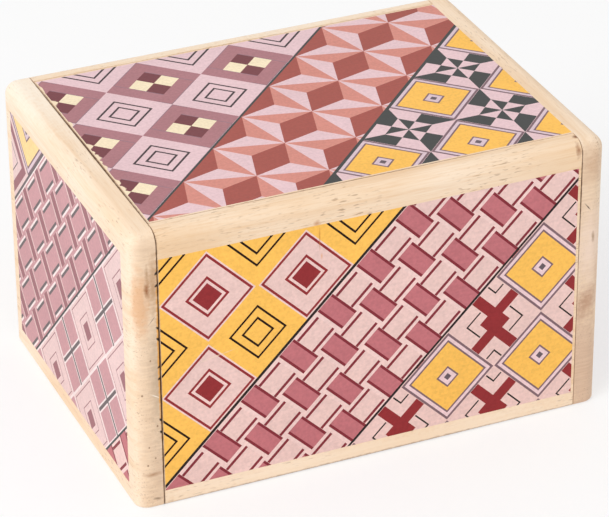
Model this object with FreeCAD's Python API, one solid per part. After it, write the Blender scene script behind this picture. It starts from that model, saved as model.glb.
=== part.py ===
import FreeCAD, Part
import os

# Wooden puzzle box: two long boards, two end panels, a sliding lid and a hidden lock key.
# Millimetres, +Z up, front towards -Y, +X along the length, origin under the middle of the box.

V = FreeCAD.Vector

# Outside of the box
length = 120.0            # over both end panels
width = 87.5              # over the front and back boards
height = 72.7
edge_round = 3.4          # top edges and upright corners, sanded round after assembly
foot_round = 0.8          # bottom edges, only broken

# Board stock
board_t = 5.0             # front and back boards
end_panel_t = 6.4
end_wall_t = 6.0
lid_t = 5.0
bottom_t = 5.0
veneer_t = 0.4

# Seams and running gaps
left_seam = 0.25          # left end panel to the boards and the lid
right_seam = 0.2          # right end panel to the boards
lid_side_gap = 0.2        # lid to each long board
lid_under_gap = 0.2       # lid to the top edges of the end walls
slide_clear = 0.2         # round the rails, the key and the lid's tongues
glue_gap = 0.05           # round dowels and pins in their holes

# Tongues along the lid and the bottom, in grooves of the long boards
tongue_w = 1.8
tongue_h = 1.8
tongue_rise = 1.2         # above the lower face of the lid or the bottom

# Left end panel: dovetail rails on the end wall, and a pin in a slot that ends the travel
panel_travel = 10.0       # upwards
rail_side_inset = 14.75   # rail's middle from the end wall's side edge
rail_foot_w = 8.0
rail_head_w = 10.5
rail_depth = 2.6          # into the panel
rail_seat = 1.0           # into the end wall
rail_end_inset = 3.5      # rail's ends from the end wall's edges
stop_pin_d = 3.0
stop_pin_y = 13.0
stop_pin_z = 40.0
stop_pin_seat = 4.0       # into the end wall
stop_slot_depth = 2.4

# Lock key: a dovetail slat in the left end wall, with a tenon that rises into the lid
key_travel = 2.6
key_mouth_w = 10.0        # outer face
key_back_w = 12.0         # inner face
key_t = 3.2
key_sink = 0.15           # outer face behind the wall's face
key_top_gap = 0.4         # tenon below the lid when released
tenon_w = 8.0
tenon_t = 1.6
nail_notch_r = 1.2        # hollow for a fingernail
nail_notch_rise = 3.0     # above the key's foot

# Dowels
dowel_d = 2.5
dowel_inset = 14.0        # corner dowels from the end wall's top and bottom edges
dowel_in_board = 2.6
dowel_in_wall = 6.0
dowel_end_gap = 0.3
lid_dowel_y = 26.0
lid_dowel_rise = 2.3      # above the lid's lower face
lid_dowel_in_lid = 6.5
lid_dowel_in_panel = 3.5

# Printed sheets: bare margins, from where the flat of each face starts
lid_rim = 0.45
lid_left_rim = 0.3
lid_right_rim = 0.2
long_left_rim = 0.2       # left and right as seen from outside
long_right_rim = 0.7
long_top_rim = 3.4
long_bottom_rim = 3.25
end_side_rim = 2.4
end_top_rim = 3.0
end_bottom_rim = 3.9
bottom_rim = 4.0

# Places worked out from the sizes
half_l = length / 2
half_w = width / 2
panel_inner = half_l - end_panel_t
board_left = -panel_inner + left_seam
board_right = panel_inner - right_seam
board_inner = half_w - board_t
lid_under = height - lid_t
wall_top = lid_under - lid_under_gap
wall_left_inner = board_left + end_wall_t
wall_right_inner = board_right - end_wall_t
round_z = height - edge_round
round_y = half_w - edge_round
rail_y = board_inner - rail_side_inset
rail_bottom = bottom_t + rail_end_inset
rail_top = wall_top - rail_end_inset
key_foot = bottom_t + slide_clear
key_shoulder = wall_top - key_travel - slide_clear
key_face = board_left + key_sink
key_back = key_face + key_t
through = 1.0             # how far a cutting solid runs past the wood


def block(low, high):
    size = V(*high) - V(*low)
    return Part.makeBox(size.x, size.y, size.z, V(*low))


def prism(points, sweep):
    corners = [V(*point) for point in points]
    return Part.Face(Part.makePolygon(corners + corners[:1])).extrude(V(*sweep))


def peg(diameter, base, run):
    return Part.makeCylinder(diameter / 2, V(*run).Length, V(*base), V(*run))


def dovetail(near_x, near_w, far_x, far_w, y, z_low, z_high):
    points = [(near_x, y - near_w / 2, z_low), (near_x, y + near_w / 2, z_low),
              (far_x, y + far_w / 2, z_low), (far_x, y - far_w / 2, z_low)]
    return prism(points, (0, 0, z_high - z_low))


def rounded_box():
    body = block((-half_l, -half_w, 0), (half_l, half_w, height))
    upper = [edge for edge in body.Edges if edge.BoundBox.ZMax > height / 2]
    body = body.makeFillet(edge_round, upper)
    foot = [edge for edge in body.Edges if edge.BoundBox.ZMax < foot_round / 2]
    return body.makeFillet(foot_round, foot)


outside = rounded_box()


def outer_board(low, high):
    return block(low, high).common(outside)


def save(name, shape):
    solids = shape.removeSplitter().Solids
    whole = solids[0] if len(solids) == 1 else Part.makeCompound(solids)
    whole.exportStep("parts/" + name + ".step")


# Printed sheets, each let in flush with its board; side is -1 at the front or left, 1 at the back or right
def long_sheet(side):
    rims = (long_left_rim, long_right_rim) if side < 0 else (long_right_rim, long_left_rim)
    outer, inner = side * half_w, side * (half_w - veneer_t)
    return block((board_left + rims[0], min(outer, inner), foot_round + long_bottom_rim),
                 (board_right - rims[1], max(outer, inner), round_z - long_top_rim))


def end_sheet(side):
    reach = round_y - end_side_rim
    outer, inner = side * half_l, side * (half_l - veneer_t)
    return block((min(outer, inner), -reach, foot_round + end_bottom_rim),
                 (max(outer, inner), reach, round_z - end_top_rim))


lid_half_w = board_inner - lid_side_gap
lid_sheet = block((board_left + lid_left_rim, -lid_half_w + lid_rim, height - veneer_t),
                  (panel_inner - lid_right_rim, lid_half_w - lid_rim, height))
bottom_reach = board_inner - bottom_rim
bottom_sheet = block((board_left + bottom_rim, -bottom_reach, 0),
                     (board_right - bottom_rim, bottom_reach, veneer_t))

# Dowels between each end wall and each long board
dowel_heights = [bottom_t + dowel_inset, wall_top - dowel_inset]
wall_middles = [board_left + end_wall_t / 2, board_right - end_wall_t / 2]
dowel_places = [(x, side, z) for x in wall_middles for side in (-1, 1) for z in dowel_heights]


def corner_dowel(place, spare_d, spare_end):
    x, side, z = place
    start = side * (board_inner + dowel_in_board + spare_end)
    run = -side * (dowel_in_board + dowel_in_wall + 2 * spare_end)
    return peg(dowel_d + spare_d, (x, start, z), (0, run, 0))


corner_dowels = [corner_dowel(place, 0, 0) for place in dowel_places]
corner_holes = [corner_dowel(place, 2 * glue_gap, dowel_end_gap) for place in dowel_places]


# Dowels between the lid and the right end panel
def lid_dowel(y, spare_d, spare_end):
    start = panel_inner - lid_dowel_in_lid - spare_end
    run = lid_dowel_in_lid + lid_dowel_in_panel + 2 * spare_end
    return peg(dowel_d + spare_d, (start, y, lid_under + lid_dowel_rise), (run, 0, 0))


lid_dowel_rows = (-lid_dowel_y, 0, lid_dowel_y)
lid_dowels = [lid_dowel(y, 0, 0) for y in lid_dowel_rows]
lid_holes = [lid_dowel(y, 2 * glue_gap, dowel_end_gap) for y in lid_dowel_rows]


# Front and back boards: a running groove for the lid, a glued one for the bottom
def long_board(side):
    board = outer_board((board_left, min(side * board_inner, side * half_w), 0),
                        (board_right, max(side * board_inner, side * half_w), height))
    lid_tip = side * (lid_half_w + tongue_w + slide_clear)
    lid_groove = block((board_left - through, min(0, lid_tip), lid_under + tongue_rise - slide_clear),
                       (board_right + through, max(0, lid_tip),
                        lid_under + tongue_rise + tongue_h + slide_clear))
    bottom_tip = side * (board_inner + tongue_w)
    bottom_groove = block((board_left - through, min(0, bottom_tip), tongue_rise),
                          (board_right + through, max(0, bottom_tip), tongue_rise + tongue_h))
    return board.cut([lid_groove, bottom_groove, long_sheet(side)] + corner_holes)


# Lid and bottom: a panel with a tongue along each long side
def tongued_panel(x_high, half_across, z_low, thickness):
    panel = outer_board((board_left, -half_across, z_low), (x_high, half_across, z_low + thickness))
    tongues = block((board_left, -half_across - tongue_w, z_low + tongue_rise),
                    (x_high, half_across + tongue_w, z_low + tongue_rise + tongue_h))
    return panel.fuse(tongues)


# End walls; the left one has seats for the rails and the pin, and a dovetail slot for the key
def end_wall(x_low, x_high):
    return block((x_low, -board_inner, bottom_t), (x_high, board_inner, wall_top)).cut(corner_holes)


def rail(y):
    foot = block((board_left, y - rail_foot_w / 2, rail_bottom),
                 (board_left + rail_seat, y + rail_foot_w / 2, rail_top))
    head_x = -panel_inner - rail_depth
    return foot.fuse(dovetail(board_left, rail_foot_w, head_x, rail_head_w, y, rail_bottom, rail_top))


def rail_groove(y):
    flare = (rail_head_w - rail_foot_w) / (left_seam + rail_depth)
    mouth_w = rail_foot_w + flare * (left_seam - through) + 2 * slide_clear
    floor_w = rail_head_w + flare * slide_clear + 2 * slide_clear
    return dovetail(-panel_inner + through, mouth_w, -panel_inner - rail_depth - slide_clear, floor_w,
                    y, -through, rail_top + slide_clear)


def key_slot():
    flare = (key_back_w - key_mouth_w) / key_t
    mouth_w = key_mouth_w - flare * (key_sink + through) + 2 * slide_clear
    floor_w = key_back_w + flare * slide_clear + 2 * slide_clear
    return dovetail(board_left - through, mouth_w, key_back + slide_clear, floor_w,
                    0, bottom_t, wall_top + through)


def stop_pin(spare_d, spare_end):
    reach = stop_pin_seat + left_seam + stop_slot_depth - slide_clear
    base = (board_left + stop_pin_seat + spare_end, stop_pin_y, stop_pin_z)
    return peg(stop_pin_d + spare_d, base, (-reach - spare_end, 0, 0))


rails = {"panel_rail_front": rail(-rail_y), "panel_rail_back": rail(rail_y)}
left_wall_cuts = list(rails.values()) + [key_slot(), stop_pin(2 * glue_gap, dowel_end_gap)]


# Lock key: shoulders stay below the lid, the tenon goes up into it
def lock_key():
    slat = dovetail(key_face, key_mouth_w, key_back, key_back_w, 0, key_foot, key_shoulder)
    tenon = block((key_back - tenon_t, -tenon_w / 2, key_foot),
                  (key_back, tenon_w / 2, lid_under - key_top_gap))
    notch_start = (key_face, -key_back_w / 2, key_foot + nail_notch_rise)
    notch = peg(2 * nail_notch_r, notch_start, (0, key_back_w, 0))
    return slat.fuse(tenon).cut(notch)


def lid_mortise():
    depth = key_travel - key_top_gap + slide_clear
    return block((key_back - tenon_t - slide_clear, -tenon_w / 2 - slide_clear, lid_under - through),
                 (key_back + slide_clear, tenon_w / 2 + slide_clear, lid_under + depth))


# End panels
def end_panel(side):
    return outer_board((min(side * panel_inner, side * half_l), -half_w, 0),
                       (max(side * panel_inner, side * half_l), half_w, height)).cut(end_sheet(side))


def stop_slot():
    slot_r = stop_pin_d / 2 + slide_clear
    low = stop_pin_z - panel_travel
    floor_x = -panel_inner - stop_slot_depth
    run = (stop_slot_depth + through, 0, 0)
    ends = [peg(2 * slot_r, (floor_x, stop_pin_y, z), run) for z in (low, stop_pin_z)]
    middle = block((floor_x, stop_pin_y - slot_r, low),
                   (floor_x + run[0], stop_pin_y + slot_r, stop_pin_z))
    return middle.fuse(ends)


lid_cuts = lid_holes + [lid_sheet, lid_mortise()]
lid_board = tongued_panel(panel_inner, lid_half_w, lid_under, lid_t).cut(lid_cuts)
bottom_board = tongued_panel(board_right, board_inner, 0, bottom_t).cut(bottom_sheet)
left_panel_cuts = [rail_groove(-rail_y), rail_groove(rail_y), stop_slot()]

os.makedirs("parts", exist_ok=True)
save("front_board", long_board(-1))
save("back_board", long_board(1))
save("bottom_board", bottom_board)
save("left_end_wall", end_wall(board_left, wall_left_inner).cut(left_wall_cuts))
save("right_end_wall", end_wall(wall_right_inner, board_right))
save("corner_dowels", Part.makeCompound(corner_dowels))
for name, shape in rails.items():
    save(name, shape)
save("panel_stop_pin", stop_pin(0, 0))
save("front_veneer", long_sheet(-1))
save("back_veneer", long_sheet(1))
save("bottom_veneer", bottom_sheet)
save("lid_board", lid_board)
save("lid_veneer", lid_sheet)
save("lid_dowels", Part.makeCompound(lid_dowels))
save("right_end_panel", end_panel(1).cut(lid_holes))
save("right_end_veneer", end_sheet(1))
save("left_end_panel", end_panel(-1).cut(left_panel_cuts))
save("left_end_veneer", end_sheet(-1))
save("lock_key", lock_key())
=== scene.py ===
import math
import bmesh
import bpy
from mathutils import Matrix, Vector


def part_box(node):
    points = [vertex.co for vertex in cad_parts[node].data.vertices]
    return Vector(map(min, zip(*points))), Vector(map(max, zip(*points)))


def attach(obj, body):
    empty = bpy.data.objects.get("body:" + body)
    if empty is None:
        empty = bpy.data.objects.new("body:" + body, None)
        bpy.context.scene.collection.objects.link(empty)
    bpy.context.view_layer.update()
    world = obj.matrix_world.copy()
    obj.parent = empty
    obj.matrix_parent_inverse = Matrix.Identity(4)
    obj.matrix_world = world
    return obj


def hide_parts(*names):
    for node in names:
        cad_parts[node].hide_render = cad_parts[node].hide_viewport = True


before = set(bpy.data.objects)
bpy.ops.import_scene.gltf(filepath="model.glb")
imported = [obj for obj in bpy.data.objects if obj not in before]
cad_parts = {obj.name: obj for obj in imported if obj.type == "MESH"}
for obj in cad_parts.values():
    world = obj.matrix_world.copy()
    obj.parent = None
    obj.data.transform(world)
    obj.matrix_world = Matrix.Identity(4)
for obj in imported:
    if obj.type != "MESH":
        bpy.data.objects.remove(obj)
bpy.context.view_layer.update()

mm = 0.001
print("frame loaded,", len(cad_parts), "nodes")


def linear(code):
    parts = [int(code[i:i + 2], 16) / 255 for i in (0, 2, 4)]
    return [part / 12.92 if part < 0.04045 else ((part + 0.055) / 1.055) ** 2.4 for part in parts] + [1]


# Sockets go by name, or by number where a name is there twice: 1 to 4 of a Map Range are from low, from high,
# to low and to high, and 6 and 7 of a Mix are its two colours, with the mixed colour at output 2
def addNode(tree, kind, sockets=(), **settings):
    node = tree.nodes.new("ShaderNode" + kind)
    for name, value in settings.items():
        setattr(node, name, value)
    for socket, value in dict(sockets).items():
        if isinstance(value, bpy.types.NodeSocket):
            tree.links.new(value, node.inputs[socket])
        else:
            node.inputs[socket].default_value = value
    return node


# Ragged outline of a mark of dirt or wear: its grain in mm, then shares of the mark's reach
rag = {"size": 1.1, "detail": 3, "depth": 0.9, "core": 0.55, "edge": 1.4}


# Place and reach in mm along the box's axes, turn in degrees about the front face's normal
def mark(at, reach, tint, share, core=rag["core"], turn=0):
    return {"at": at, "reach": reach, "tint": tint, "share": share, "core": core, "turn": turn}


def addMarks(tree, place, colour, marks):
    wander = addNode(tree, "TexNoise", {
        "Vector": place, "Scale": 1 / (rag["size"] * mm), "Detail": rag["detail"]})
    for spot in marks:
        local = addNode(tree, "Mapping", {
            "Vector": place, "Location": [value * mm for value in spot["at"]],
            "Rotation": (0, math.radians(spot["turn"]), 0),
            "Scale": [value * mm for value in spot["reach"]]}, vector_type="TEXTURE")
        away = addNode(tree, "VectorMath", {0: local.outputs[0]}, operation="LENGTH")
        ragged = addNode(tree, "Math", {0: wander.outputs[0], 1: rag["depth"], 2: away.outputs["Value"]},
                         operation="MULTIPLY_ADD")
        share = addNode(tree, "MapRange", {
            "Value": ragged.outputs[0], 1: spot["core"], 2: rag["edge"], 3: spot["share"], 4: 0})
        colour = addNode(tree, "Mix", {0: share.outputs[0], 6: colour, 7: linear(spot["tint"])},
                         data_type="RGBA").outputs[2]
    return colour


# Radiata pine, planed, sanded and waxed: pale cream with faint growth bands, fine fibre and short brown
# resin ticks along the grain, and greyer, finely lined end grain. Each layer of its look has a size across
# and along the grain in mm, the range of its noise that shows, and its share at most.
pine = {
    "pale": "FAE3C9", "straw": "F1CFA8", "lateWood": "E6BA8A", "endPale": "F0D3B4", "endDark": "E0C1A2",
    "resin": "8C633C",
    "tone": {"size": (24, 48), "detail": 2, "range": (0.32, 0.68), "share": 1},
    "bands": {"size": (2.4, 80), "detail": 3, "bend": 0.4, "range": (0.48, 0.78), "share": 0.7},
    "fibre": {"size": (0.34, 7), "detail": 2, "range": (0.45, 0.75), "share": 0.4},
    "ticks": {"size": (0.42, 2.3), "detail": 1, "range": (0.6, 0.71)},
    "patches": {"size": (7, 21), "detail": 1, "range": (0.4, 0.62), "share": 1},
    "endLines": {"size": (0.55, 4.95), "detail": 2, "range": (0.35, 0.72), "share": 1},
    "endFacing": (0.6, 0.98), "endShare": 0.85, "specular": 0.3, "roughness": (0.47, 0.65),
    "relief": 0.25, "reliefDepth": 0.05}
palePine = {**pine, "pale": "FBE7D0", "straw": "F5D8B8", "lateWood": "EAC59C"}

# Beech, turned for dowels: browner, with fine flecks where the pine has resin
beech = {
    **pine, "pale": "E6C49B", "straw": "D9B184", "lateWood": "C79A6B", "endPale": "D8B48A",
    "endDark": "B98E62", "resin": "9A6C45", "ticks": {**pine["ticks"], "size": (0.3, 1.4)},
    "bands": {**pine["bands"], "size": (1.2, 80)}}
alongX, alongY, alongZ = 0, 1, 2


def sandedWood(name, grain, wood=pine, tickShare=0.7, marks=()):
    material = bpy.data.materials.new(name)
    material.use_nodes = True
    tree = material.node_tree
    shader = tree.nodes["Principled BSDF"]
    place = addNode(tree, "TexCoord").outputs["Object"]

    noises, shares = {}, {}
    for key in ("tone", "bands", "fibre", "ticks", "patches", "endLines"):
        layer = wood[key]
        across, along = layer["size"]
        longAxes = (alongX, alongY) if key == "endLines" else (grain,)  # the end grain's lines lie level
        sizes = [along if axis in longAxes else across for axis in (alongX, alongY, alongZ)]
        stretched = addNode(tree, "Mapping", {"Vector": place, "Scale": [1 / (size * mm) for size in sizes]})
        noises[key] = addNode(tree, "TexNoise", {
            "Vector": stretched.outputs[0], "Scale": 1, "Detail": layer["detail"],
            "Distortion": layer.get("bend", 0)}).outputs[0]
        low, high = layer["range"]
        most = tickShare if key == "ticks" else layer["share"]
        shares[key] = addNode(tree, "MapRange", {"Value": noises[key], 1: low, 2: high, 4: most}).outputs[0]

    # End grain shows where the surface faces along the grain
    normal = addNode(tree, "SeparateXYZ", {0: addNode(tree, "NewGeometry").outputs["Normal"]})
    facing = addNode(tree, "Math", {0: normal.outputs[grain]}, operation="ABSOLUTE").outputs[0]
    low, high = wood["endFacing"]
    endShare = addNode(tree, "MapRange", {"Value": facing, 1: low, 2: high, 4: wood["endShare"]}).outputs[0]
    endColour = addNode(tree, "Mix", {0: shares["endLines"], 6: linear(wood["endPale"]),
                                      7: linear(wood["endDark"])}, data_type="RGBA").outputs[2]
    # Resin ticks come in patches
    tickHere = addNode(tree, "Math", {0: shares["ticks"], 1: shares["patches"]},
                       operation="MULTIPLY").outputs[0]

    colour = linear(wood["pale"])
    layers = [(shares["tone"], linear(wood["straw"])), (shares["bands"], linear(wood["lateWood"])),
              (shares["fibre"], linear(wood["lateWood"])), (endShare, endColour),
              (tickHere, linear(wood["resin"]))]
    for share, tint in layers:
        colour = addNode(tree, "Mix", {0: share, 6: colour, 7: tint}, data_type="RGBA").outputs[2]
    tree.links.new(addMarks(tree, place, colour, marks), shader.inputs["Base Color"])
    shader.inputs["Specular IOR Level"].default_value = wood["specular"]

    low, high = wood["roughness"]
    rough = addNode(tree, "MapRange", {"Value": noises["fibre"], 3: low, 4: high})
    tree.links.new(rough.outputs[0], shader.inputs["Roughness"])
    relief = addNode(tree, "Bump", {"Height": noises["fibre"], "Strength": wood["relief"],
                                    "Distance": wood["reliefDepth"] * mm})
    tree.links.new(relief.outputs[0], shader.inputs["Normal"])
    return material


# Faces and seams that the marks are placed from
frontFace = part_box("front_board")[0].y / mm
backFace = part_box("back_board")[1].y / mm
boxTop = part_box("front_board")[1].z / mm
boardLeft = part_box("front_board")[0].x / mm
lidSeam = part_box("front_board")[1].y / mm
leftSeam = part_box("left_end_panel")[1].x / mm
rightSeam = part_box("right_end_panel")[0].x / mm
seamDirt = {"tint": "6A3E1E", "share": 0.85}

frontMarks = [
    mark((0, frontFace, 0), (110, 5, 8), "FFEBD2", 0.62, core=0.8),  # paler foot rail
    mark((0, frontFace, 0), (110, 4, 0.9), "84593A", 0.85),  # painted contact shadow along its lower edge, where it meets the floor
    mark((-46, frontFace, 69), (14, 5, 5), "EBC59A", 0.55),  # handled left end of the top rail
    mark((0, lidSeam, boxTop), (60, 0.32, 0.5), "84583A", 0.8),  # dirt along the lid
    mark((rightSeam - 1, frontFace + 1.2, boxTop - 2.5), (1, 2.8, 2.2), "8A4A22", 0.9),  # corner stains
    mark((rightSeam - 0.4, frontFace + 3.2, boxTop), (1.1, 1, 0.8), "7A4420", 0.9),
    mark((-14.3, frontFace, 66.4), (1.2, 1, 1.1), "B9743F", 0.6),  # drop of glue
    mark((rightSeam, frontFace, 58), (0.5, 1.5, 18), "9C6B47", 0.5),
    mark((leftSeam, frontFace, 36), (0.3, 3, 60), **seamDirt),
    mark((boardLeft, frontFace, 36), (0.3, 3, 60), **seamDirt),
    mark((rightSeam, frontFace, 60), (0.3, 3, 20), **seamDirt)]
lidMarks = [mark((boardLeft, 0, boxTop), (0.5, 60, 2), **seamDirt)]
backMarks = [mark((0, backFace - 2, boxTop), (75, 7, 5), "FFF3E2", 0.65)]  # bleached top edge

leftMarks = [
    mark((leftSeam - 0.6, frontFace, 35), (2.7, 2.5, 21), "BDA58A", 0.75),  # grime beside the seam
    mark((leftSeam - 0.8, frontFace, 11), (2.4, 2.5, 13), "C6AB92", 0.38),
    mark((leftSeam - 0.9, frontFace, 60), (1.9, 2.5, 10), "BA8F66", 0.8),
    mark((leftSeam - 4.4, frontFace, 55), (3, 2.5, 11), "E3AE80", 0.7, core=0.8),  # warm streak and its knot
    mark((leftSeam - 2.4, frontFace, 63), (0.6, 2, 3), "B58C68", 0.7),
    mark((leftSeam - 2.5, frontFace, 58.6), (0.95, 1.5, 2.8), "9C6438", 0.95),
    mark((leftSeam - 1.5, frontFace, 50.5), (0.16, 1, 1.9), "8C7468", 0.9, turn=40),  # two scratches
    mark((leftSeam - 1.2, frontFace, 30.3), (0.2, 1, 2.2), "FBEDDC", 0.9, turn=-58),
    mark((leftSeam - 2.4, frontFace, 9.2), (3, 1.5, 0.8), "B08463", 0.75),  # stains near the foot
    mark((leftSeam - 1.6, frontFace, 2.4), (1.6, 1.5, 0.5), "7A5F4C", 0.7, turn=12),
    mark((leftSeam - 3, backFace - 6, boxTop), (6, 34, 3), "FFF3E2", 0.8),  # bleached far end of the top
    mark((leftSeam, frontFace, 41), (0.6, 1.4, 26), "EBA43E", 0.85, core=1),  # yellow print on the edge
    mark((leftSeam, frontFace, 36), (0.22, 3, 60), **seamDirt),
    mark((leftSeam, 0, boxTop), (0.22, 60, 2.5), **seamDirt)]
# Small pits that hold dirt, by their distance from the seam and their height
pits = ((3.2, 16.8), (3.6, 11.9), (1.7, 13.6), (1, 22.2), (5.2, 24), (4.4, 31), (2.2, 40))
leftMarks += [mark((leftSeam - inward, frontFace, height), (0.3, 1.2, 0.38), "7A5236", 0.75, core=0.8)
              for inward, height in pits]
# Printed black lines that run on over the panel's edge: their heights, by the way they lean
lineEnds = {-40: (62.6, 59.5, 38, 34.9), 40: (48.2, 45.2, 23.6, 20.4)}
leftMarks += [mark((leftSeam - 0.05, frontFace, height), (0.8, 1.2, 0.42), "1E120B", 1, core=0.9, turn=lean)
              for lean, heights in lineEnds.items() for height in heights]

rightMarks = [
    mark((rightSeam + 3, frontFace, 44), (5, 3, 15), "F6DDCE", 0.6),  # pale upper half
    mark((rightSeam + 3.6, frontFace, 9), (9, 3, 25), "BC9480", 0.38, core=0.9, turn=-12),  # grey-brown foot
    mark((rightSeam + 2.6, frontFace, 29), (4.4, 2.5, 6.5), "A87458", 0.6, turn=30),  # stain at mid height
    mark((rightSeam + 3, frontFace, 66), (5, 3, 7), "C29672", 0.45),
    mark((rightSeam + 1.9, frontFace, 55), (1.6, 1, 0.2), "4E3A2C", 1, turn=52),  # dark scratch
    mark((rightSeam + 3.6, frontFace, 46.5), (0.55, 1, 1.8), "A08264", 0.85),
    mark((rightSeam + 5.2, frontFace, 36), (1.2, 2, 8), "CFA98A", 0.6),
    mark((rightSeam, frontFace, 60), (0.2, 3, 20), **seamDirt)]

boardMaterials = {
    sandedWood("sandedPineAlongX", alongX): ["bottom_board"],
    sandedWood("sandedPineAlongY", alongY, tickShare=0.4): ["left_end_wall", "right_end_wall"],
    sandedWood("sandedPineAlongZ", alongZ, tickShare=0.4): [
        "panel_rail_front", "panel_rail_back", "lock_key"],
    sandedWood("turnedBeechAlongX", alongX, beech, 0.6): ["lid_dowels", "panel_stop_pin"],
    sandedWood("turnedBeechAlongY", alongY, beech, 0.6): ["corner_dowels"],
    sandedWood("handledPineFront", alongX, pine, 0.58, frontMarks): ["front_board"],
    sandedWood("handledPineLid", alongX, pine, 0.7, lidMarks): ["lid_board"],
    sandedWood("bleachedPineBack", alongX, pine, 0.6, backMarks): ["back_board"],
    sandedWood("handledPineLeft", alongY, palePine, 0.36, leftMarks): ["left_end_panel"],
    sandedWood("handledPineRight", alongY, palePine, 0.4, rightMarks): ["right_end_panel"]}
for material, nodes in boardMaterials.items():
    for node in nodes:
        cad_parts[node].data.materials.clear()
        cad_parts[node].data.materials.append(material)
print("boards waxed")

# Printing inks of the marquetry sheets
inks = {
    "yellow": "FEC45E", "honey": "FBD797", "pink": "EDCAC3", "shell": "F2D0CA", "rosewater": "F0D0D3",
    "darkRed": "943033", "oxblood": "86303A", "rose": "C3747A", "blush": "E9C8CC", "mauve": "B07B80",
    "rosewood": "B07C82", "maroon": "7A4449", "cream": "FAE8C6", "brick": "A7584F", "salmon": "D89083",
    "lilac": "DFC6CE", "purple": "82676E", "plum": "6A5C63", "slate": "474847", "ash": "957882",
    "black": "2B2422", "umber": "24110A", "charcoal": "463C3E", "dusty": "CB989C", "heather": "A06C72",
    "chalk": "F3E0DE", "grey": "6C6263", "petal": "E9CAC7"}
inkOrder = list(inks)

# Printed maple veneer under thin matte lacquer: flat inks over a fine speckle of pores and faint grain,
# scuffed through to bare wood in places. Sizes in mm along the box's axes, swings as shares of the ink's
# brightness.
veneer = {
    "pores": {"size": (0.7, 0.7, 0.7), "swing": 0.07}, "grain": {"size": (8, 0.5, 0.5), "swing": 0.025},
    "clouds": {"size": (14, 14, 14), "swing": 0.03}, "detail": 2, "range": (0.3, 0.7),
    "specular": 0.12, "roughness": (0.42, 0.56), "relief": 0.12, "reliefDepth": 0.03}


def printedVeneer(name, marks=()):
    material = bpy.data.materials.new(name)
    material.use_nodes = True
    tree = material.node_tree
    shader = tree.nodes["Principled BSDF"]
    place = addNode(tree, "TexCoord").outputs["Object"]
    ink = addNode(tree, "Attribute", attribute_name="ink").outputs["Color"]
    gain, noises = 1, {}
    for key in ("pores", "grain", "clouds"):
        size, swing = veneer[key]["size"], veneer[key]["swing"]
        stretched = addNode(tree, "Mapping", {
            "Vector": place, "Scale": [1 / (length * mm) for length in size]})
        noises[key] = addNode(tree, "TexNoise", {
            "Vector": stretched.outputs[0], "Scale": 1, "Detail": veneer["detail"]}).outputs[0]
        low, high = veneer["range"]
        part = addNode(tree, "MapRange", {"Value": noises[key], 1: low, 2: high, 3: 1 - swing, 4: 1 + swing})
        gain = addNode(tree, "Math", {0: part.outputs[0], 1: gain}, operation="MULTIPLY").outputs[0]
    toned = addNode(tree, "VectorMath", {0: ink, "Scale": gain}, operation="SCALE").outputs[0]
    tree.links.new(addMarks(tree, place, toned, marks), shader.inputs["Base Color"])
    shader.inputs["Specular IOR Level"].default_value = veneer["specular"]
    low, high = veneer["roughness"]
    rough = addNode(tree, "MapRange", {"Value": noises["pores"], 3: low, 4: high})
    tree.links.new(rough.outputs[0], shader.inputs["Roughness"])
    relief = addNode(tree, "Bump", {"Height": noises["pores"], "Strength": veneer["relief"],
                                    "Distance": veneer["reliefDepth"] * mm})
    tree.links.new(relief.outputs[0], shader.inputs["Normal"])
    return material


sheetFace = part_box("front_veneer")[0].y / mm
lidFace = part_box("lid_veneer")[1].z / mm
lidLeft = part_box("lid_veneer")[0].x / mm
frontScuffs = [
    mark((-39.5, sheetFace, 37.4), (6.6, 1, 0.2), "F8E0C0", 0.7, turn=-9.7),  # pale scratch
    mark((-13.7, sheetFace, 62.4), (0.3, 1, 4.2), "C07A3C", 0.7),  # run of glue
    mark((-13.2, sheetFace, 57.6), (0.35, 1, 1.1), "E7A877", 0.8)]
# Chips along the left edge of the lid's print: place along the edge, then reach across and along it.
# The first is the worn edge itself.
lidChips = {0: (0.3, 60), 34: (0.6, 2), 25.8: (1.4, 1.9), 13.8: (0.9, 1.8), 1.5: (1.3, 1.6), -1.8: (0.7, 1),
            -4.3: (1.3, 1.8), -6.8: (0.7, 1), -9.8: (0.9, 1.5), -17.7: (1, 2), -21: (1.2, 1.6)}
lidScuffs = [mark((lidLeft, y, lidFace), (*reach, 1), "F9E2C2", 1, core=1.15)
             for y, reach in lidChips.items()]
veneerPrint = printedVeneer("printedVeneerMatte")
frontPrint = printedVeneer("printedVeneerFront", frontScuffs)
lidPrint = printedVeneer("printedVeneerLid", lidScuffs)

# Motifs are lists of inked outlines, painted in order, in millimetres from the middle of their cell.
# Every pattern runs in stripes at 45 degrees: a goes along a stripe, b across it.
cell = 17.32
halfCell = cell / 2


def bar(ink, aLow, aHigh, bLow, bHigh):
    return ink, [(aLow, bLow), (aHigh, bLow), (aHigh, bHigh), (aLow, bHigh)]


# Squares one inside the other, each with its ink and half its width
def nested(*steps):
    return [bar(ink, -half, half, -half, half) for ink, half in steps]


def outlined(ground, ink, halves, lineWidth):
    steps = [(ground, halfCell)]
    for half in halves:
        steps += [(ink, half), (ground, half - lineWidth)]
    return nested(*steps)


def jewel(ground, ring, gem):
    return nested((ground, halfCell), ("purple", 8.58), (ring, 8.0), ("purple", 7.18), (gem, 6.74),
                  ("purple", 2.1), (ring, 1.68), ("plum", 0.7))


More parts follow.
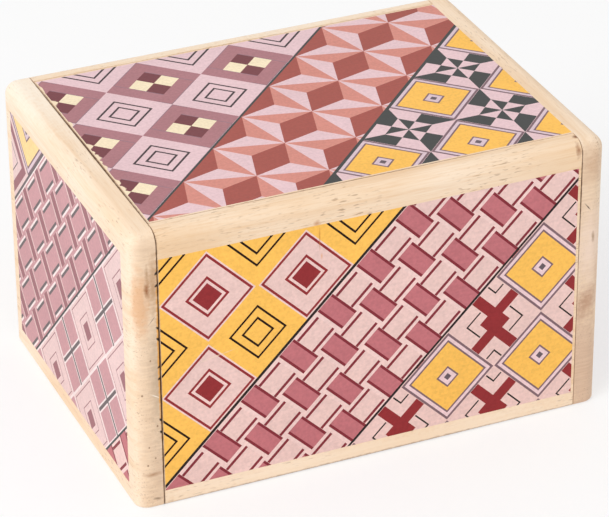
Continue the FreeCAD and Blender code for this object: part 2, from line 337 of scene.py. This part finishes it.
yellowSquares = outlined("yellow", "umber", (5.12, 2.91), 0.53)
blushSquares = outlined("blush", "charcoal", (5.12, 2.92), 0.56)
targetSquares = nested(("yellow", halfCell), ("shell", 8.4), ("darkRed", 8.02), ("pink", 7.4),
                       ("darkRed", 3.86), ("shell", 3.24), ("darkRed", 2.58))
paleSquares = nested(("chalk", halfCell), ("petal", 8.3), ("heather", 7.7), ("petal", 7.45), ("heather", 3.8),
                     ("petal", 3.55), ("heather", 2.05))
frameSquares = nested(("petal", halfCell), ("heather", 7.4), ("petal", 5.2), ("grey", 3.2), ("petal", 2.9))

# Dark cross with four offset arms and thin corner lines
cross = {"arm": 2.8, "line": 0.4, "innerCorner": 5.35, "innerStart": 0.3, "outerCorner": 5.8, "outerEnd": 8.4}


def steppedCross():
    arm, inner, outer = cross["arm"], cross["innerCorner"], cross["outerCorner"]
    innerEdge, outerEdge = inner - cross["line"], outer - cross["line"]
    tiles = nested(("pink", halfCell))
    tiles += [bar("darkRed", 0, halfCell, -arm, 0), bar("darkRed", -halfCell, 0, 0, arm),
              bar("darkRed", 0, arm, -halfCell, 0), bar("darkRed", -arm, 0, 0, halfCell)]
    tiles += nested(("darkRed", arm))
    for side in (-1, 1):
        near, far = sorted((side * inner, side * innerEdge))
        start, stop = sorted((side * cross["innerStart"], side * inner))
        tiles += [bar("black", near, far, start, stop), bar("black", start, stop, near, far)]
        near, far = sorted((side * outer, side * outerEdge))
        start, stop = sorted((side * outerEdge, side * cross["outerEnd"]))
        tiles += [bar("black", near, far, -stop, -start), bar("black", start, stop, -far, -near)]
    return tiles


# Frame of four lapped strips round a check of four squares
check = {"half": 4.6, "line": 0.22}


def checkSquares():
    half, lineWidth = check["half"], check["line"]
    tiles = nested(("ash", halfCell), ("mauve", halfCell - lineWidth))
    for side in (-1, 1):
        near, far = sorted((side * half, side * halfCell))
        tip, heel = sorted((-side * half, side * halfCell))
        joint = sorted((side * half, side * (half + lineWidth)))
        tiles += [bar("rosewood", near, far, tip, heel), bar("ash", *joint, tip, heel)]
    tiles += [bar("cream", -half, 0, -half, 0), bar("cream", 0, half, 0, half),
              bar("maroon", 0, half, -half, 0), bar("maroon", -half, 0, 0, half)]
    return tiles


# Eight sectors, dark and light, with the inner half of the square the other way round
def pinwheel():
    def rim(half):
        corners = [(-1, -1), (0, -1), (1, -1), (1, 0), (1, 1), (0, 1), (-1, 1), (-1, 0), (-1, -1)]
        return [(half * a, half * b) for a, b in corners]

    outer, inner = rim(halfCell), rim(halfCell / 2)
    tiles = []
    for k in range(8):
        outerInk, innerInk = ("blush", "slate") if k % 2 == 0 else ("slate", "blush")
        tiles += [(outerInk, [outer[k], outer[k + 1], inner[k + 1], inner[k]]),
                  (innerInk, [(0, 0), inner[k], inner[k + 1]])]
    return tiles


# Hemp leaf: a net of triangles, each split in three from its middle
hempRow = 14.46
hempRepeat = (cell, 2 * hempRow)


def hempLeaf():
    tiles = []
    for row in (-1, 0):
        for step in range(-2, 3):
            pointsDown = (step + row) % 2 == 1
            base, tip = (row, row + 1) if pointsDown else (row + 1, row)
            a = step * halfCell
            left, right = (a - halfCell, base * hempRow), (a + halfCell, base * hempRow)
            apex, middle = (a, tip * hempRow), (a, (2 * base + tip) / 3 * hempRow)
            tiles += [("blush", [left, apex, middle]), ("salmon", [right, apex, middle]),
                      ("brick", [left, right, middle])]
    return tiles


# Basket weave: upright strips, the posts, pass over level ones, the slats, half a repeat along in every
# second row
roseWeave = {
    "repeat": (13.86, 16.67), "rowStep": 7.85, "post": 5.45, "postEdge": 0.7, "postLength": 8.65,
    "slatMiddles": (3.95, 4.79), "slatHalf": 2.34, "slatEdge": 0.74, "slatStart": 5.5, "slatEnd": 12.85}
heatherWeave = {
    "repeat": (14.4, 16.5), "rowStep": 8.25, "post": 3.0, "postEdge": 0.6, "postLength": 8.0,
    "slatMiddles": (4.0, 4.0), "slatHalf": 3.0, "slatEdge": 0.75, "slatStart": 4.6, "slatEnd": 12.6}


# Each post's left and right side, its foot and top, and the ends and middle of the slat beside it
def weaveStrips(weave):
    acrossRepeat, alongRepeat = weave["repeat"]
    for row in (0, 1):
        foot = row * weave["rowStep"] - alongRepeat / 2
        for turn in (-2, -1, 0):
            left = (turn + (row + 1) / 2) * acrossRepeat
            post = (left, left + weave["post"], foot, foot + weave["postLength"])
            yield post, (left + weave["slatStart"], left + weave["slatEnd"]), foot + weave["slatMiddles"][row]


def weaveGround(ink, weave):
    across, along = weave["repeat"]
    return [bar(ink, -across / 2, across / 2, -along / 2, along / 2)]


def roseBasket():
    half, edge, rim = roseWeave["slatHalf"], roseWeave["slatEdge"], roseWeave["postEdge"]
    tiles = weaveGround("shell", roseWeave)
    for (left, right, foot, top), slat, middle in weaveStrips(roseWeave):
        tiles += [bar("pink", *slat, middle - half, middle + half),
                  bar("oxblood", *slat, middle - half - edge, middle - half),
                  bar("oxblood", *slat, middle + half, middle + half + edge),
                  bar("oxblood", left, right, foot, top), bar("rose", left + rim, right - rim, foot, top)]
    return tiles


def heatherBasket():
    half, edge, rim = heatherWeave["slatHalf"], heatherWeave["slatEdge"], heatherWeave["postEdge"]
    tiles = weaveGround("dusty", heatherWeave)
    for (left, right, foot, top), slat, middle in weaveStrips(heatherWeave):
        tiles += [bar("chalk", *slat, middle - half - rim, middle + half + rim),
                  bar("grey", *slat, middle - half, middle + half),
                  bar("dusty", *slat, middle - half + edge, middle + half - edge),
                  bar("petal", left - rim, right + rim, foot, top), bar("heather", left, right, foot, top)]
    return tiles


# Window of four panes with light-edged dark bars
pane = {"rim": 0.3, "barEdge": 0.9, "bar": 0.45}


def paneSquares():
    tiles = nested(("chalk", halfCell), ("dusty", halfCell - pane["rim"]))
    for half, ink in ((pane["barEdge"], "chalk"), (pane["bar"], "grey")):
        tiles += [bar(ink, -half, half, -halfCell, halfCell), bar(ink, -halfCell, halfCell, -half, half)]
    return tiles


farAway = 999  # past any face, in mm


# A stripe reaches up to a distance across the face's diagonal, and has motifs or is a plain line
def patternStripe(upTo, motifs, centre, repeat=(cell, cell)):
    return {"upTo": upTo, "motifs": motifs, "centre": centre, "repeat": repeat}


def lineStripe(upTo, ink):
    return {"upTo": upTo, "ink": ink}


# Two stripes of squares with a weave between them
def threeStripes(first, weaveMotif, weave, last, lineInk):
    return [patternStripe(-41.3, first, (8.5, -49.91)), lineStripe(-40.7, lineInk),
            patternStripe(-7.75, [weaveMotif], (-14.12, -32.26), weave["repeat"]), lineStripe(-7.2, lineInk),
            patternStripe(farAway, last, (25.69, 1.68))]


jewelAndCross = [jewel("pink", "rosewater", "yellow"), steppedCross()]
squaresAndTargets = [yellowSquares, targetSquares]
squaresAndChecks = [blushSquares, checkSquares()]
squaresAndPanes = [paleSquares, paneSquares()]
frontStripes = [
    patternStripe(-41.5, squaresAndTargets, (8.5, -49.91)), lineStripe(-40.75, "black"),
    patternStripe(-7.75, [roseBasket()], (-14.32, -32.26), roseWeave["repeat"]), lineStripe(-7.15, "black"),
    patternStripe(farAway, jewelAndCross, (25.69, 1.68))]
lidStripes = [
    patternStripe(-11.36, squaresAndChecks, (-18.15, -37.4)), lineStripe(-10.8, "slate"),
    patternStripe(19.65, [hempLeaf()], (-18.29, 3.77), hempRepeat), lineStripe(20.5, "slate"),
    patternStripe(farAway, [jewel("blush", "lilac", "yellow"), pinwheel()], (-18.86, 28.52))]
leftStripes = [
    patternStripe(-57.0, [jewel("petal", "lilac", "honey"), frameSquares], (28.5, -65.4)),
    lineStripe(-56.3, "grey"), lineStripe(-55.9, "chalk"),
    patternStripe(-23.0, [heatherBasket()], (19.0, -47.6), heatherWeave["repeat"]),
    lineStripe(-22.45, "slate"),
    patternStripe(12.4, squaresAndPanes, (31.65, -13.6)), lineStripe(12.95, "slate"),
    patternStripe(farAway, [roseBasket()], (19.4, 12.4), roseWeave["repeat"])]
rightStripes = threeStripes(squaresAndChecks, heatherBasket(), heatherWeave, squaresAndPanes, "slate")
backStripes = threeStripes(jewelAndCross, roseBasket(), roseWeave, squaresAndTargets, "black")
bottomStripes = [patternStripe(farAway, [hempLeaf()], (0, 0), hempRepeat)]

# How near points snap in mm, how flat joined faces lie in radians, and when a part of a normal counts as
# zero or as outward
sheetCut = {"snap": 0.001, "flat": 0.01, "zero": 1e-6, "outward": 0.5}


def cutAlong(mesh, faces, point, normal):
    parts = dict.fromkeys(part for face in faces for part in (face, *face.edges, *face.verts))
    cut = bmesh.ops.bisect_plane(mesh, geom=list(parts), dist=sheetCut["snap"], plane_co=point,
                                 plane_no=normal)
    return [part for part in cut["geom"] if isinstance(part, bmesh.types.BMFace)]


def inside(point, corners):
    a, b = point
    turns = []
    for (a1, b1), (a2, b2) in zip(corners, corners[1:] + corners[:1]):
        turns.append((a2 - a1) * (b - b1) - (b2 - b1) * (a - a1))
    return min(turns) >= 0 or max(turns) <= 0


# The straight lines that a motif's outlines lie on, each once, as a point and a normal
def motifLines(motif):
    found = {}
    for ink, corners in motif:
        for start, end in zip(corners, corners[1:] + corners[:1]):
            normal = Vector((start[1] - end[1], end[0] - start[0])).normalized()
            if normal.x < -sheetCut["zero"] or (abs(normal.x) <= sheetCut["zero"] and normal.y < 0):
                normal = -normal
            key = (round(normal.x, 4), round(normal.y, 4), round(normal.dot(Vector(start)), 3))
            found[key] = (Vector(start), normal)
    return list(found.values())


# Cuts a stripe along its cells and their motifs, and notes each face's ink as its material index
def inkStripe(mesh, faces, stripe, aAxis, bAxis, extent):
    (aStart, bStart), (aSize, bSize) = stripe["centre"], stripe["repeat"]
    cellsOut = 2 * (int(extent / min(aSize, bSize)) + 1)
    for k in range(-cellsOut, cellsOut + 1):
        for axis, start, size in ((aAxis, aStart, aSize), (bAxis, bStart, bSize)):
            faces = cutAlong(mesh, faces, axis * (start + (k + 0.5) * size), axis)
    cells = {}
    for face in faces:
        middle = face.calc_center_median()
        key = (round((middle.dot(aAxis) - aStart) / aSize), round((middle.dot(bAxis) - bStart) / bSize))
        cells.setdefault(key, []).append(face)
    for (i, j), cellFaces in cells.items():
        motif = stripe["motifs"][(i + j) % len(stripe["motifs"])]
        aMiddle, bMiddle = aStart + i * aSize, bStart + j * bSize
        for point, normal in motifLines(motif):
            cellFaces = cutAlong(mesh, cellFaces, aAxis * (aMiddle + point.x) + bAxis * (bMiddle + point.y),
                                 aAxis * normal.x + bAxis * normal.y)
        for face in cellFaces:
            middle = face.calc_center_median()
            place = (middle.dot(aAxis) - aMiddle, middle.dot(bAxis) - bMiddle)
            shown = [ink for ink, corners in motif if inside(place, corners)]
            face.material_index = inkOrder.index(shown[-1] if shown else motif[0][0])


# A thin closed slab that is cut along the lines of its pattern, with one ink for each face of its show side
def inlaySheet(name, node, body, across, up, stripes, material=veneerPrint):
    low, high = (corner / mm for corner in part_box(node))
    across, up = Vector(across), Vector(up)
    aAxis, bAxis = (across + up) / math.sqrt(2), (across - up) / math.sqrt(2)
    outward = across.cross(up)
    extent = Vector([max(abs(low[k]), abs(high[k])) for k in range(3)]).length
    mesh = bmesh.new()
    bmesh.ops.create_cube(mesh, size=1)
    for vert in mesh.verts:
        vert.co = [(low[k] + high[k]) / 2 + vert.co[k] * (high[k] - low[k]) for k in range(3)]

    for stripe in stripes:
        cutAlong(mesh, mesh.faces[:], bAxis * stripe["upTo"], bAxis)
    lowB = -farAway
    for stripe in stripes:
        faces = [face for face in mesh.faces if lowB < face.calc_center_median().dot(bAxis) < stripe["upTo"]]
        lowB = stripe["upTo"]
        if "motifs" in stripe:
            inkStripe(mesh, faces, stripe, aAxis, bAxis, extent)
            continue
        for face in faces:
            face.material_index = inkOrder.index(stripe["ink"])
    mesh.normal_update()
    for face in mesh.faces:
        if face.normal.dot(outward) < sheetCut["outward"]:
            face.material_index = inkOrder.index("cream")  # bare wood on the edges and the glued side
    bmesh.ops.dissolve_limit(mesh, angle_limit=sheetCut["flat"], use_dissolve_boundaries=False,
                             verts=mesh.verts[:], edges=mesh.edges[:], delimit={"MATERIAL"})
    bmesh.ops.scale(mesh, vec=(mm, mm, mm), verts=mesh.verts[:])

    data = bpy.data.meshes.new(name)
    mesh.to_mesh(data)
    mesh.free()
    colours = data.color_attributes.new("ink", "FLOAT_COLOR", "CORNER")
    for face in data.polygons:
        for corner in face.loop_indices:
            colours.data[corner].color = linear(inks[inkOrder[face.material_index]])
        face.material_index = 0
    data.materials.append(material)
    piece = bpy.data.objects.new(name, data)
    bpy.context.scene.collection.objects.link(piece)
    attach(piece, body)
    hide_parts(node)
    print(name, "cut into", len(data.polygons), "faces")


inlaySheet("front_marquetry", "front_veneer", "carcass", (1, 0, 0), (0, 0, 1), frontStripes, frontPrint)
inlaySheet("lid_marquetry", "lid_veneer", "lid", (1, 0, 0), (0, 1, 0), lidStripes, lidPrint)
inlaySheet("left_marquetry", "left_end_veneer", "left_end", (0, -1, 0), (0, 0, 1), leftStripes)
inlaySheet("right_marquetry", "right_end_veneer", "lid", (0, 1, 0), (0, 0, 1), rightStripes)
inlaySheet("back_marquetry", "back_veneer", "carcass", (-1, 0, 0), (0, 0, 1), backStripes)
inlaySheet("bottom_marquetry", "bottom_veneer", "carcass", (1, 0, 0), (0, -1, 0), bottomStripes)


# 1 for what the camera sees, straight, mirrored or through glass, and 0 for the light that falls on things
def seenByCamera(tree):
    rays = addNode(tree, "LightPath").outputs
    seen = rays["Is Camera Ray"]
    for kind in ("Is Glossy Ray", "Is Transmission Ray"):
        seen = addNode(tree, "Math", {0: seen, 1: rays[kind]}, operation="MAXIMUM").outputs[0]
    return seen


# White card floor: matte, with the faintest tooth. Sizes in m, tooth in mm.
floor = {"size": 4, "colour": "FDFDFD", "roughness": 0.9, "tooth": 3, "toothRelief": 0.05, "toothDepth": 0.02,
         "paperShare": 0.55}
bpy.ops.mesh.primitive_plane_add(size=floor["size"])
card = bpy.context.object
card.name = "card_floor"
cardMaterial = bpy.data.materials.new("matteWhiteCard")
cardMaterial.use_nodes = True
cardTree = cardMaterial.node_tree
cardShader = cardTree.nodes["Principled BSDF"]
cardShader.inputs["Base Color"].default_value = linear(floor["colour"])
cardShader.inputs["Roughness"].default_value = floor["roughness"]
tooth = addNode(cardTree, "TexNoise", {"Scale": 1 / (floor["tooth"] * mm)}).outputs[0]
toothBump = addNode(cardTree, "Bump", {"Height": tooth, "Strength": floor["toothRelief"],
                                       "Distance": floor["toothDepth"] * mm}).outputs[0]
cardTree.links.new(toothBump, cardShader.inputs["Normal"])
# To the camera the card is part paper white, part its own shading, so it stays pale and keeps the shadow
paper = addNode(cardTree, "Emission", {"Color": (1, 1, 1, 1), "Strength": 1}).outputs[0]
paperShare = addNode(cardTree, "Math", {0: seenByCamera(cardTree), 1: floor["paperShare"]},
                     operation="MULTIPLY").outputs[0]
cardMix = addNode(cardTree, "MixShader", {0: paperShare, 1: cardShader.outputs[0], 2: paper}).outputs[0]
cardTree.links.new(cardMix, cardTree.nodes["Material Output"].inputs["Surface"])
card.data.materials.append(cardMaterial)

# Soft studio light: a bright tent all round and one large lamp, up at the left. Power in W, sizes in m.
studio = {"tent": 0.72, "lampPower": 8.4, "lampSize": 0.9, "lampPlace": (-0.9, -0.5, 1.0)}
world = bpy.data.worlds.new("studioTent")
bpy.context.scene.world = world
world.use_nodes = True
worldTree = world.node_tree
tentLevel = addNode(worldTree, "MapRange", {
    "Value": seenByCamera(worldTree), 3: studio["tent"], 4: 1}).outputs[0]
worldTree.nodes["Background"].inputs["Color"].default_value = (1, 1, 1, 1)
worldTree.links.new(tentLevel, worldTree.nodes["Background"].inputs["Strength"])
lamp = bpy.data.objects.new("softLamp", bpy.data.lights.new("softLamp", "AREA"))
lamp.data.shape = "DISK"
lamp.data.size = studio["lampSize"]
lamp.data.energy = studio["lampPower"]
lamp.location = studio["lampPlace"]
lamp.rotation_euler = (-Vector(studio["lampPlace"])).to_track_quat("-Z", "Y").to_euler()
bpy.context.scene.collection.objects.link(lamp)

# Camera at the photograph's view, for an image of 609 by 517 pixels, with angles in degrees and its aim and
# distance in mm
shot = {"azimuth": -23.13, "elevation": 29.75, "roll": -0.46, "distance": 813.8, "aimRight": 1.09,
        "aimUp": -4.63, "aimHeight": 36.38, "focalPixels": 3335, "imageWidth": 609, "sensorWidth": 36,
        "clipEnd": 20}
azimuth, elevation, roll = (math.radians(shot[key]) for key in ("azimuth", "elevation", "roll"))
back = Vector((math.sin(azimuth) * math.cos(elevation), -math.cos(azimuth) * math.cos(elevation),
               math.sin(elevation)))
right = Vector((math.cos(azimuth), math.sin(azimuth), 0))
upward = back.cross(right)
tilted = right * math.cos(roll) + upward * math.sin(roll)
tiltedUp = upward * math.cos(roll) - right * math.sin(roll)
aim = Vector((0, 0, shot["aimHeight"])) + right * shot["aimRight"] + upward * shot["aimUp"]
cameraData = bpy.data.cameras.new("photoView")
cameraData.sensor_width = shot["sensorWidth"]
cameraData.lens = shot["focalPixels"] / shot["imageWidth"] * shot["sensorWidth"]
cameraData.clip_end = shot["clipEnd"]
camera = bpy.data.objects.new("photoView", cameraData)
camera.matrix_world = Matrix((tilted, tiltedUp, back)).transposed().to_4x4()
camera.location = (aim + back * shot["distance"]) * mm
bpy.context.scene.collection.objects.link(camera)
bpy.context.scene.camera = camera
bpy.context.scene.view_settings.view_transform = "Standard"
print("stage, lamp and camera set")
